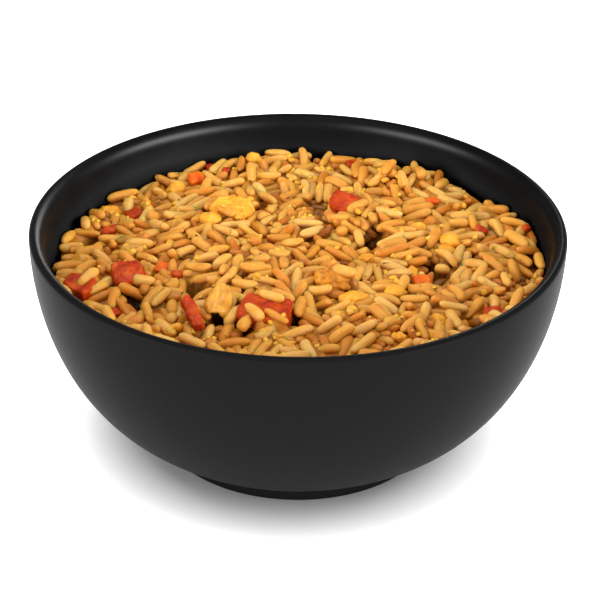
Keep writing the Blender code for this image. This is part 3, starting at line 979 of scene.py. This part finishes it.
# --- grains that lie on top, by their place in the photo: x, y, length (pixels),
#     angle in the picture, and how far their middle is above the heap (mm)
ON_TOP = [
    (182, 209, 27, 3, 0.3), (232, 183, 26, 18, 0.3), (215, 197, 28, 25, 0.2), (259, 189, 20, -55, 0.3),
    (267, 175, 27, 0, 0.3), (285, 214, 19, 45, 0.3), (139, 243, 29, -3, 0.4), (160, 249, 28, 22, 0.2),
    (102, 257, 25, -38, 0.3), (202, 244, 23, -35, 0.2), (217, 239, 26, -42, 0.4), (249, 232, 28, -38, 0.4),
    (185, 250, 20, 20, 0.1), (204, 258, 30, 18, 0.3), (221, 261, 23, 38, 0.3), (237, 262, 19, 80, 0.2),
    (257, 265, 16, 0, 0.3), (207, 278, 30, 12, 0.5), (142, 282, 26, -5, 0.9), (87, 277, 25, 42, 0.6),
    (86, 267, 21, 30, 0.6), (65, 272, 19, 3, 0.2), (266, 280, 28, -12, 0.4), (283, 295, 26, -28, 0.2),
    (271, 298, 26, -15, 1.2), (254, 313, 22, -42, 1.0), (276, 318, 27, -28, 1.0), (165, 328, 25, -35, 0.5),
    (148, 313, 24, -70, 0.4), (94, 306, 26, -22, 0.4), (108, 315, 20, -55, 0.4), (128, 318, 15, 40, 0.3),
    (145, 216, 20, 65, 0.7), (102, 285, 21, 30, 0.5), (207, 334, 23, 65, 0.2), (226, 331, 21, 60, 0.2),
    (234, 343, 32, 5, 0.6), (267, 331, 27, 35, 0.0), (279, 253, 22, 0, 0.2), (292, 242, 23, 10, 0.2),
    (278, 237, 24, 0, 0.2), (326, 172, 26, -15, 0.4), (342, 180, 22, -25, 0.4), (325, 160, 18, 55, 0.5),
    (347, 191, 15, -5, 0.4), (358, 190, 18, -80, 0.4), (367, 201, 20, -60, 0.3), (338, 218, 23, 0, 0.4),
    (392, 159, 22, -5, 0.6), (403, 164, 23, 10, 0.6), (409, 182, 22, 52, 0.4), (416, 216, 32, 22, 0.6),
    (454, 196, 24, 5, 0.3), (479, 198, 28, -28, 0.2), (513, 223, 26, -12, 0.7), (497, 228, 22, -60, 0.4),
    (390, 240, 29, 25, 0.4), (405, 254, 28, 15, 0.4), (433, 238, 24, 60, 0.6), (447, 257, 24, -42, 0.7),
    (494, 264, 25, -42, 0.5), (513, 270, 24, -78, 0.3), (478, 274, 25, 50, 0.3), (478, 291, 29, 10, 0.4),
    (414, 298, 30, 0, 0.3), (421, 288, 28, 2, 0.1), (386, 306, 28, -35, 0.5), (474, 308, 27, 48, 0.4),
    (424, 312, 20, 68, 0.5), (410, 315, 20, -3, 0.2), (422, 329, 22, -70, 0.5), (364, 328, 30, 28, 0.6),
    (338, 308, 29, 28, 0.3), (328, 326, 31, 32, 0.5), (341, 333, 30, 35, 0.4), (313, 316, 25, -35, 0.3),
    (329, 349, 24, 5, 0.5), (366, 289, 25, -35, 0.1), (378, 274, 21, -75, 0.3), (320, 289, 24, 8, 0.2),
    (246, 324, 22, 52, 0.9), (232, 315, 20, 55, 0.2), (96, 289, 24, 22, 0.7), (64, 290, 18, -30, 0.6),
    (319, 192, 20, 84, 0.3), (327, 192, 18, 82, 0.3), (357, 207, 22, 30, 0.8), (200, 205, 24, 30, 0.6),
    (226, 212, 20, -20, 0.7), (243, 196, 22, -48, 0.4), (320, 262, 22, 20, 0.8), (344, 272, 24, -12, 0.8),
]
# where the heap stands higher or sinks: x, y, radius (mm), height (mm)
UPS = [(243, 166, 7, 3.4), (225, 168, 6, -0.6), (301, 163, 8, -1.6), (352, 160, 6, -1.6), (396, 168, 9, 4.2),
       (410, 170, 6, 1.2), (512, 218, 8, 4.4), (497, 206, 6, 2.2), (530, 242, 7, 2.6), (464, 189, 6, -3.8),
       (478, 194, 5, -2.0), (450, 180, 5, 1.6), (200, 170, 6, 1.4), (72, 236, 8, 4.2), (165, 180, 6, 1.2),
       (58, 260, 7, 3.6), (546, 266, 7, 3.6), (140, 280, 8, 1.2), (330, 330, 10, 1.2),
       (220, 262, 9, 1.0)]
DOWNS = [(221, 317, 4.0, -4.4), (244, 327, 4.0, -3.2), (370, 244, 5, -2.4), (453, 277, 5.5, -2.6), (317, 212, 4.5, -2.8),
         (294, 324, 4, -3.0), (196, 288, 4.5, -2.6), (98, 243, 5, -1.6), (378, 266, 5, -1.8),
         (250, 222, 5, -1.4), (430, 268, 5, -2.0), (137, 300, 4, -2.0), (298, 200, 5, -1.4)]


def slow_noise(scale, seed):
    """Smooth noise on the grid, about -0.7 to 0.7."""
    step = 4
    few = AX[::step]
    v = np.array([[noise.noise(Vector((x / scale, y / scale, seed))) for x in few] for y in few])
    fx = np.clip((GX + HALF) / (GRID * step), 0, len(few) - 1.001)
    fy = np.clip((GY + HALF) / (GRID * step), 0, len(few) - 1.001)
    ix, iy = fx.astype(int), fy.astype(int)
    tx, ty = fx - ix, fy - iy
    return (v[iy, ix] * (1 - tx) * (1 - ty) + v[iy, ix + 1] * tx * (1 - ty)
            + v[iy + 1, ix] * (1 - tx) * ty + v[iy + 1, ix + 1] * tx * ty)


def blur(grid, passes):
    for _ in range(passes):
        grid = grid * 0.5 + (np.roll(grid, 1, 0) + np.roll(grid, -1, 0) + np.roll(grid, 1, 1)
                             + np.roll(grid, -1, 1)) / 8
    return grid


def node_top(grid):
    """The grid raised to the upper side of the large pieces."""
    out = grid.copy()
    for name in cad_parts:
        if name in ("rice", "bowl"):
            continue
        tree = tree_of(name)
        lo, hi = (np.array(v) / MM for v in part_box(name))
        for iy in range(int((lo[1] + HALF) / GRID), int((hi[1] + HALF) / GRID) + 2):
            for ix in range(int((lo[0] + HALF) / GRID), int((hi[0] + HALF) / GRID) + 2):
                hit = tree.ray_cast(Vector((AX[ix] * MM, AX[iy] * MM, 0.1)), Vector((0, 0, -1)))
                if hit[0] is not None:
                    out[iy, ix] = max(out[iy, ix], hit[0].z / MM)
    return out


def hides(points, at, radius, nearer=0.2):
    """Which points lie in front of a ball, as the camera sees it."""
    d = points - at
    return (np.hypot(d @ CAM_RIGHT, d @ CAM_UP) < radius) & (-(d @ _fwd) > nearer)


def kept_inside(p, far):
    """A place moved towards the bowl's axis until it is no farther than far from it."""
    r = math.hypot(p[0], p[1])
    if r > far:
        p[0], p[1] = p[0] * far / r, p[1] * far / r
    return p


# --- settle the grains
big = [balls_in_node(n) for n in sorted(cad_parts) if n not in ("rice", "bowl")]
big = np.concatenate(big)
LAYER = 6.8
shape = np.zeros_like(GX)
for px, py, r, dz in UPS + DOWNS:
    p = hit_surface(px + 0.5, py + 0.5, TOP)
    shape += dz * np.exp(-((GX - p[0]) ** 2 + (GY - p[1]) ** 2) / (r * r))
FLOOR = TOP - LAYER + 1.7 * slow_noise(12.0, 7.9) + shape
COUNT = 1900
ang = RNG.uniform(0, 2 * math.pi, COUNT)
rad = 73.5 * np.sqrt(RNG.uniform(0, 1, COUNT))
c = np.stack([rad * np.cos(ang), rad * np.sin(ang), np.zeros(COUNT)], 1)
c[:, 2] = sample(FLOOR, c[:, 0], c[:, 1]) + RNG.uniform(1.4, 13.0, COUNT)
# neighbours lie much the same way
turn = 4.6 * sample(slow_noise(15.0, 3.3), c[:, 0], c[:, 1]) + RNG.normal(0, 0.62, COUNT)
free = RNG.uniform(0, 1, COUNT) < 0.25
turn[free] = RNG.uniform(0, 2 * math.pi, free.sum())
lean = np.radians(RNG.normal(0, 18, COUNT))
u = np.stack([np.cos(turn) * np.cos(lean), np.sin(turn) * np.cos(lean), np.sin(lean)], 1)


def lengths(n):
    out = RNG.normal(8.9, 0.8, n).clip(7.0, 10.6)
    short = RNG.uniform(0, 1, n) < 0.12
    out[short] = RNG.uniform(4.0, 6.4, short.sum())
    return out


half = lengths(COUNT) / 2 - BALL
c, u = relax(c, u, half, big[:, :3], big[:, 3], FLOOR, 200, 0.16, 0.005)

# --- the small pieces and the top grains go in, and the others make room
settled = top_of(c, u, half, FLOOR)
smooth_top = blur(settled, 14)
small_at, small_balls = [], []
for row in SMALL:
    kind, px, py, L, W, T, tz, tx, ty, lift = row
    p = kept_inside(hit_surface(px + 0.5, py + 0.5, smooth_top), 74.0 - L / 2)
    p[2] = sample(smooth_top, p[0], p[1]) + lift - T * 0.25
    small_at.append(p)
    R = rotation(tz, tx, ty)
    for fx in np.linspace(-0.5, 0.5, 3):
        for fy in np.linspace(-0.4, 0.4, 2):
            q = p + R @ np.array([fx * (L - T), fy * (W - T) if W > T else 0.0, 0.0])
            small_balls.append((*q, T * 0.48))
small_balls = np.array(small_balls)
allb = np.concatenate([big, small_balls])

piece_top = node_top(smooth_top)
tc, tu, th_ = [], [], []
for px, py, long_px, turned, lift in ON_TOP:
    p = kept_inside(hit_surface(px + 0.5, py + 0.5, piece_top), 71.0)
    scale = np.linalg.norm(p - CAM_AT) / FOCAL_PX
    ix = long_px * scale * math.cos(math.radians(turned))
    iy = long_px * scale * math.sin(math.radians(turned))
    seen = math.hypot(ix, iy)
    deep = min(math.sqrt(max(8.4 ** 2 - seen ** 2, 0.0)), 1.6 * abs(iy)) * (1 if iy > 0 else -1)
    v = ix * CAM_RIGHT + iy * CAM_UP + deep * _fwd
    full = float(np.linalg.norm(v))
    p[2] = float(sample(piece_top, p[0], p[1])) + lift - 0.5
    tc.append(p)
    tu.append(v / full)
    th_.append(full / 2 / 1.03 - BALL)
# more of them, scattered between
tries = 0
while len(tc) < len(ON_TOP) + 150 and tries < 4000:
    tries += 1
    r, a = 70 * math.sqrt(RNG.uniform()), RNG.uniform(0, 2 * math.pi)
    q = np.array([r * math.cos(a), r * math.sin(a), 0.0])
    if min(np.hypot(*(q - o)[:2]) for o in tc) < 5.2:
        continue
    if np.hypot(*(allb[:, :2] - q[:2]).T).min() < 4.0:
        continue
    a = RNG.uniform(0, math.pi)
    L = float(lengths(1)[0])
    ends = [q[:2] + s_ * 0.42 * L * np.array([math.cos(a), math.sin(a)]) for s_ in (-1, 1)]
    z = [float(sample(smooth_top, *e)) + RNG.uniform(-0.7, 0.8) for e in ends]
    v = np.array([*(ends[1] - ends[0]), z[1] - z[0]])
    q[2] = (z[0] + z[1]) / 2 - 0.2
    tc.append(q)
    tu.append(v / np.linalg.norm(v))
    th_.append(L / 2 - BALL)
tc, tu, th_ = np.array(tc), np.array(tu), np.array(th_)
off = np.linspace(-1, 1, SPHERES)
top_balls = (tc[:, None] + off[None, :, None] * th_[:, None, None] * tu[:, None])
pp = c[:, None] + off[None, :, None] * half[:, None, None] * u[:, None]
kill = np.zeros(len(c), bool)
for bx, by, bz, br in allb:
    at = np.array([bx, by, bz])
    kill |= (hides(pp, at, br * 0.9).sum(1) >= 1) & (np.sqrt(((pp - at) ** 2).sum(-1)) < 9).any(1)
    kill |= (np.sqrt(((pp - at) ** 2).sum(-1)) < 0.5 * br).any(1)
for k, balls in enumerate(top_balls):
    for at in balls:
        near = (np.sqrt(((pp - at) ** 2).sum(-1)) < 6).any(1)
        if k < len(ON_TOP):
            kill |= (hides(pp, at, 1.35, 0.4).sum(1) >= 1) & near
        kill |= ((np.sqrt(((pp - at) ** 2).sum(-1)) < 1.1).sum(1) >= 2)
c, u, half = c[~kill], u[~kill], half[~kill]
fixed = np.concatenate([allb, np.concatenate([top_balls.reshape(-1, 3), np.full((top_balls.shape[0] * SPHERES, 1), 1.25)], 1)])
c, u = relax(c, u, half, fixed[:, :3], fixed[:, 3], FLOOR, 70, 0.03, 0.0)
loose = len(c)
c, u, half = np.concatenate([c, tc]), np.concatenate([u, tu]), np.concatenate([half, th_])
on_top = np.arange(len(c)) >= loose
# nothing stands up like a pin
wide_top = blur(top_of(c, u, half, FLOOR), 80)
tip = c + u * np.where(u[:, 2:] < 0, -1.0, 1.0) * half[:, None]
measured = (np.arange(len(c)) >= loose) & (np.arange(len(c)) < loose + len(ON_TOP))
pin = (tip[:, 2] - sample(wide_top, tip[:, 0], tip[:, 1]) > 1.3) & (np.abs(u[:, 2]) > 0.38) & ~measured
# gaps that go deep between the grains; what shows down them is darkened further on as painted shade
PITS = [(370, 243, 2.7), (440, 279, 2.6), (428, 265, 2.2), (491, 206, 2.3), (221, 318, 2.6), (244, 327, 2.3),
        (196, 291, 2.3), (294, 323, 2.1), (319, 211, 2.3), (211, 212, 1.8), (307, 239, 1.8), (183, 257, 1.8),
        (84, 301, 2.1), (92, 243, 2.1), (137, 303, 1.9), (520, 283, 1.8), (344, 262, 1.8), (470, 322, 1.9),
        (262, 205, 1.8)]
pit = np.zeros_like(GX)
balls = c[:, None] + off[None, :, None] * half[:, None, None] * u[:, None]
gap_at = []
for px, py, r in PITS:
    p, d = hit_surface(px + 0.5, py + 0.5, wide_top), pixel_ray(px, py)[1]
    at = p + d * 3.0 * r
    gap_at.append((at, r))
    pin |= (hides(balls, at, r, 0.0) & (np.linalg.norm(balls - at, axis=-1) < 15)).any(1) & ~measured
    for k in (0.3, 0.65, 1.0):
        q = p + (at - p) * k
        wide = ((GX - q[0]) ** 2 + (GY - q[1]) ** 2) / ((r + 0.2) * (r + 0.2))
        pit = np.maximum(pit, np.exp(-wide ** 1.5))
c, u, half, on_top = c[~pin], u[~pin], half[~pin], on_top[~pin]
settled = top_of(c, u, half, FLOOR)

# --- which grains can be seen, and how deep each lies
depth = sample(settled, c[:, 0], c[:, 1]) - c[:, 2]
local = blur(settled, 14)
sunk = sample(local, c[:, 0], c[:, 1]) - c[:, 2]
shown = (depth < 5.4) | on_top
print("grains", len(c), "shown", int(shown.sum()), "surface", float(np.nanmean(settled[GX ** 2 + GY ** 2 < 60 ** 2])),
      "cad", float(TOP[GX ** 2 + GY ** 2 < 60 ** 2].mean()))

# --- the core: the heap under the loose grains; here it fills the gaps between them
#     like paste, there it lies deep and is painted near-black as shade
deep_field = np.clip(0.45 + 2.1 * slow_noise(6.5, 11.3) + 0.8 * slow_noise(2.6, 5.7) + 1.3 * pit, 0, 1)
relief = np.minimum(blur(settled, 6) - (1.0 + 3.2 * deep_field), blur(settled, 1) - 0.1) - 2.2 * pit
relief = relief + 0.45 * slow_noise(1.7, 2.9)


def make_core():
    step, reach = 0.62, 75.4
    rings = int(reach / step)
    co = []
    seg = 480
    rr = np.linspace(step, reach, rings)
    a = np.arange(seg) * 2 * math.pi / seg
    deep = []
    for r in rr:
        x, y = r * np.cos(a), r * np.sin(a)
        z = sample(relief, x, y)
        lim = inner_radius(z) - 0.35
        k = np.minimum(1.0, lim / r)
        co.append(np.stack([x * k, y * k, z], 1))
        deep.append(sample(deep_field, x, y))
    side = even_curve(lambda z: inner_radius(z, 0.45), FLOOR_Z + 0.45, 50.0, 14)[::-1]
    for r, z in side[:-1]:
        co.append(np.stack([r * np.cos(a), r * np.sin(a), np.full(seg, z)], 1))
        deep.append(np.ones(seg))
    n = len(co)
    co = np.concatenate(co)
    i, j = np.meshgrid(np.arange(n - 1), np.arange(seg), indexing="ij")
    k = (j + 1) % seg
    quads = np.stack([i * seg + j, (i + 1) * seg + j, (i + 1) * seg + k, i * seg + k], -1).reshape(-1, 4)
    top, low = len(co), len(co) + 1
    co = np.concatenate([co, [[0, 0, float(sample(relief, 0.0, 0.0))], [0, 0, FLOOR_Z + 0.45]]])
    j = np.arange(seg)
    k = (j + 1) % seg
    tris = np.concatenate([np.stack([j, k, np.full(seg, top)], 1),
                           np.stack([(n - 1) * seg + k, (n - 1) * seg + j, np.full(seg, low)], 1)])
    ob = mesh_from_arrays("rice_core", co, quads, tris)
    at = ob.data.attributes.new("deep", "FLOAT", "POINT")
    at.data.foreach_set("value", np.concatenate(deep + [[0.5, 1.0]]).astype(np.float32))
    return ob


core = make_core()
core.data.materials.append(core_material())
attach(core, "root")
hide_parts("rice")

# --- loose grains, in three pieces by colour: partly at random, as sauce took to them, partly by depth, deeper grains going browner and top grains paler as painted shade
c, u, half, sunk, on_top = c[shown], u[shown], half[shown], sunk[shown], on_top[shown]
pick = RNG.uniform(0, 1, len(c)) + 0.16 * np.clip(sunk - 1.0, -1.5, 3.0) - 0.35 * on_top
# painted shade: the deeper a grain lies, the darker its tone, and top grains get a lighter one; the rest of the tone is
# random
tone = np.clip(RNG.normal(0.50, 0.27, len(c)) - 0.09 * np.clip(sunk - 1.0, 0, 4) + 0.08 * on_top, 0.0, 1.0)
# low: how deep a grain lies, used for a wetter gloss and for painted shade
low = np.clip((sunk - 0.6) / 2.4, 0.0, 1.0) * ~on_top
balls = c[:, None] + off[None, :, None] * half[:, None, None] * u[:, None]
# painted shade: the grains seen through each gap get low above 1, which paints them nearly black
for at, r in gap_at:
    d = balls - at
    behind = (np.hypot(d @ CAM_RIGHT, d @ CAM_UP) < r + 0.3) & (d @ _fwd > -1.0) & (d @ _fwd < 11) & (sunk > 1.4)[:, None]
    low = np.maximum(low, np.where(on_top, 0.0, 1.0 + np.clip(behind.mean(1) * 1.8, 0, 1)) * behind.any(1))
order = np.argsort(pick, kind="stable")
third = len(c) // 3
groups = (("rice_pale", order[:third], PALE, 0.46), ("rice_golden", order[third:2 * third], GOLD, 0.44),
          ("rice_brown", order[2 * third:], BROWN, 0.40))
for k, (nm, ids, stops, wet) in enumerate(groups):
    ids = np.sort(ids)
    ob = make_grains(nm, c[ids], u[ids], half[ids], tone[ids], low[ids], 100 + k)
    ob.data.materials.append(rice_material(nm, stops, wet))
    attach(ob, "root")
    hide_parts("rice")

# --- the small pieces' meshes
kinds = {"carrot": [], "pepper": [], "egg": [], "onion": []}
for i, (row, p) in enumerate(zip(SMALL, small_at)):
    kind, px, py, L, W, T, tz, tx, ty, lift = row
    level = 4
    if kind == "onion":
        co, tr = petal(L, W, 1.1, T * 0.5, i * 3.7, 30, 22)
    else:
        co, tr = lump(L, W, T, level, i * 3.7, SOFT[kind], AMP[kind], 2.4, 0.35 if kind == "egg" else 0.10,
                      0.9)
    co = co @ rotation(tz, tx, ty).T + p
    kinds[kind].append((co, tr))
M_CARROT = pepper_material("carrot", (0.54, 0.062, 0.002), (0.68, 0.115, 0.004), (0.78, 0.20, 0.011))
join_lumps("carrot_bits", kinds["carrot"], M_CARROT)
join_lumps("pepper_bits", kinds["pepper"], M_PEPPER)
join_lumps("egg_bits", kinds["egg"], M_EGG)
join_lumps("onion_bits", kinds["onion"], M_ONION)

# --- crumbs of egg and rice, and flecks of herb, all lying on the grains
crumbs, flecks = [], []
shapes = [lump(1.9, 1.5, 1.2, 2, 50 + i * 2.2, 0.8, 0.6, 0.9) for i in range(8)]
crumbly = slow_noise(11.0, 23.7)
while len(crumbs) < 260:
    i = len(crumbs)
    r, a = 72 * math.sqrt(RNG.uniform()), RNG.uniform(0, 2 * math.pi)
    x, y = r * math.cos(a), r * math.sin(a)
    if RNG.uniform(-0.35, 0.45) > float(sample(crumbly, x, y)):
        continue
    z = float(sample(settled, x, y))
    if float(sample(pit, x, y)) > 0.02 or z < float(sample(local, x, y)) - 1.5:
        continue
    k = RNG.uniform(0.55, 1.35)
    co, tr = shapes[i % 8]
    co = (co * k) @ rotation(RNG.uniform(0, 360), RNG.uniform(-40, 40), RNG.uniform(-40, 40)).T
    crumbs.append((co + np.array([x, y, z - 0.15 * k]), tr))
fleck_shapes = [lump(1.7, 0.8, 0.22, 2, 90 + i * 1.7, 0.7, 0.25, 0.8) for i in range(6)]
FLECKS = [(176, 178), (140, 305), (218, 315), (287, 198), (158, 203), (139, 272), (262, 253), (385, 263)]
for px, py in FLECKS:
    p = hit_surface(px + 0.5, py + 0.5, settled)
    co, tr = fleck_shapes[(px + py) % 6]
    co = co * np.array([1.2, 1.1, 1.6]) @ rotation(px * 7 % 360, 20, 10).T
    flecks.append((co + p + np.array([0, 0, 0.15]), tr))
for i in range(85):
    r, a = 71 * math.sqrt(RNG.uniform()), RNG.uniform(0, 2 * math.pi)
    x, y = r * math.cos(a), r * math.sin(a)
    z = float(sample(settled, x, y))
    if float(sample(pit, x, y)) > 0.02:
        continue
    k = RNG.uniform(0.3, 0.95)
    co, tr = fleck_shapes[i % 6]
    co = (co * k) @ rotation(RNG.uniform(0, 360), RNG.uniform(-25, 25), RNG.uniform(-25, 25)).T
    flecks.append((co + np.array([x, y, z + 0.02]), tr))
join_lumps("egg_crumbs", crumbs, egg_material("crumb", [(0.25, (0.60, 0.260, 0.014)), (0.5, (0.76, 0.38, 0.030)),
                                                               (0.75, (0.86, 0.50, 0.080))]))
join_lumps("herb_flecks", flecks, herb_material())

# ------------------------------------------------------------ floor and lights
floor_ob = link("floor", [(-4, -4, 0), (4, -4, 0), (4, 4, 0), (-4, 4, 0)], [(0, 1, 2, 3)], smooth=False)
floor_ob.data.materials.append(floor_material())


def area_light(name, at, aim, size_x, size_y, watts, colour=(1, 1, 1)):
    li = bpy.data.lights.new(name, "AREA")
    li.shape = "RECTANGLE"
    li.size, li.size_y = size_x, size_y
    li.energy = watts
    li.color = colour
    ob = bpy.data.objects.new(name, li)
    bpy.context.scene.collection.objects.link(ob)
    ob.location = at
    ob.rotation_mode = "QUATERNION"
    ob.rotation_quaternion = (Vector(aim) - Vector(at)).to_track_quat("-Z", "Y")
    return ob


area_light("top_soft", (-0.05, -0.14, 1.35), (0, 0, 0), 1.0, 0.8, 10)
sides = [area_light("left_soft", (-0.95, -0.68, 0.22), (0, 0, 0.06), 0.8, 0.5, 21),
         area_light("right_soft", (0.95, -0.68, 0.22), (0, 0, 0.06), 0.8, 0.5, 24)]
# a wide sheet of light for the floor alone, so that it stays white
sheet = area_light("floor_sheet", (0.16, -0.15, 1.7), (0, 0, 0), 2.9, 2.9, 116)
only_floor = bpy.data.collections.new("floor_only")
only_floor.objects.link(floor_ob)
sheet.light_linking.receiver_collection = only_floor
not_floor = bpy.data.collections.new("not_floor")
not_floor.objects.link(floor_ob)
not_floor.collection_objects[0].light_linking.link_state = "EXCLUDE"
for side in sides:
    side.light_linking.receiver_collection = not_floor
# wide, low panels that only draw their soft shine on the bowl's inside
only_bowl = bpy.data.collections.new("bowl_only")
only_bowl.objects.link(bowl_in)
for panel in (area_light("left_panel", (-0.90, -0.64, 0.26), (0, 0, 0.06), 0.9, 0.55, 205),
              area_light("right_panel", (0.96, -0.54, 0.26), (0, 0, 0.06), 1.0, 0.6, 345),
              area_light("back_panel", (0.42, 1.22, 0.34), (0, 0, 0.06), 0.6, 0.45, 14)):
    panel.light_linking.receiver_collection = only_bowl

world = bpy.data.worlds.new("studio")
bpy.context.scene.world = world
world.use_nodes = True
bg = world.node_tree.nodes["Background"]
bg.inputs[0].default_value = (1.0, 1.0, 1.0, 1.0)
bg.inputs[1].default_value = 0.66

vs = bpy.context.scene.view_settings
vs.view_transform = "Standard"
vs.look = "None"
vs.exposure = 0.0
vs.gamma = 1.0
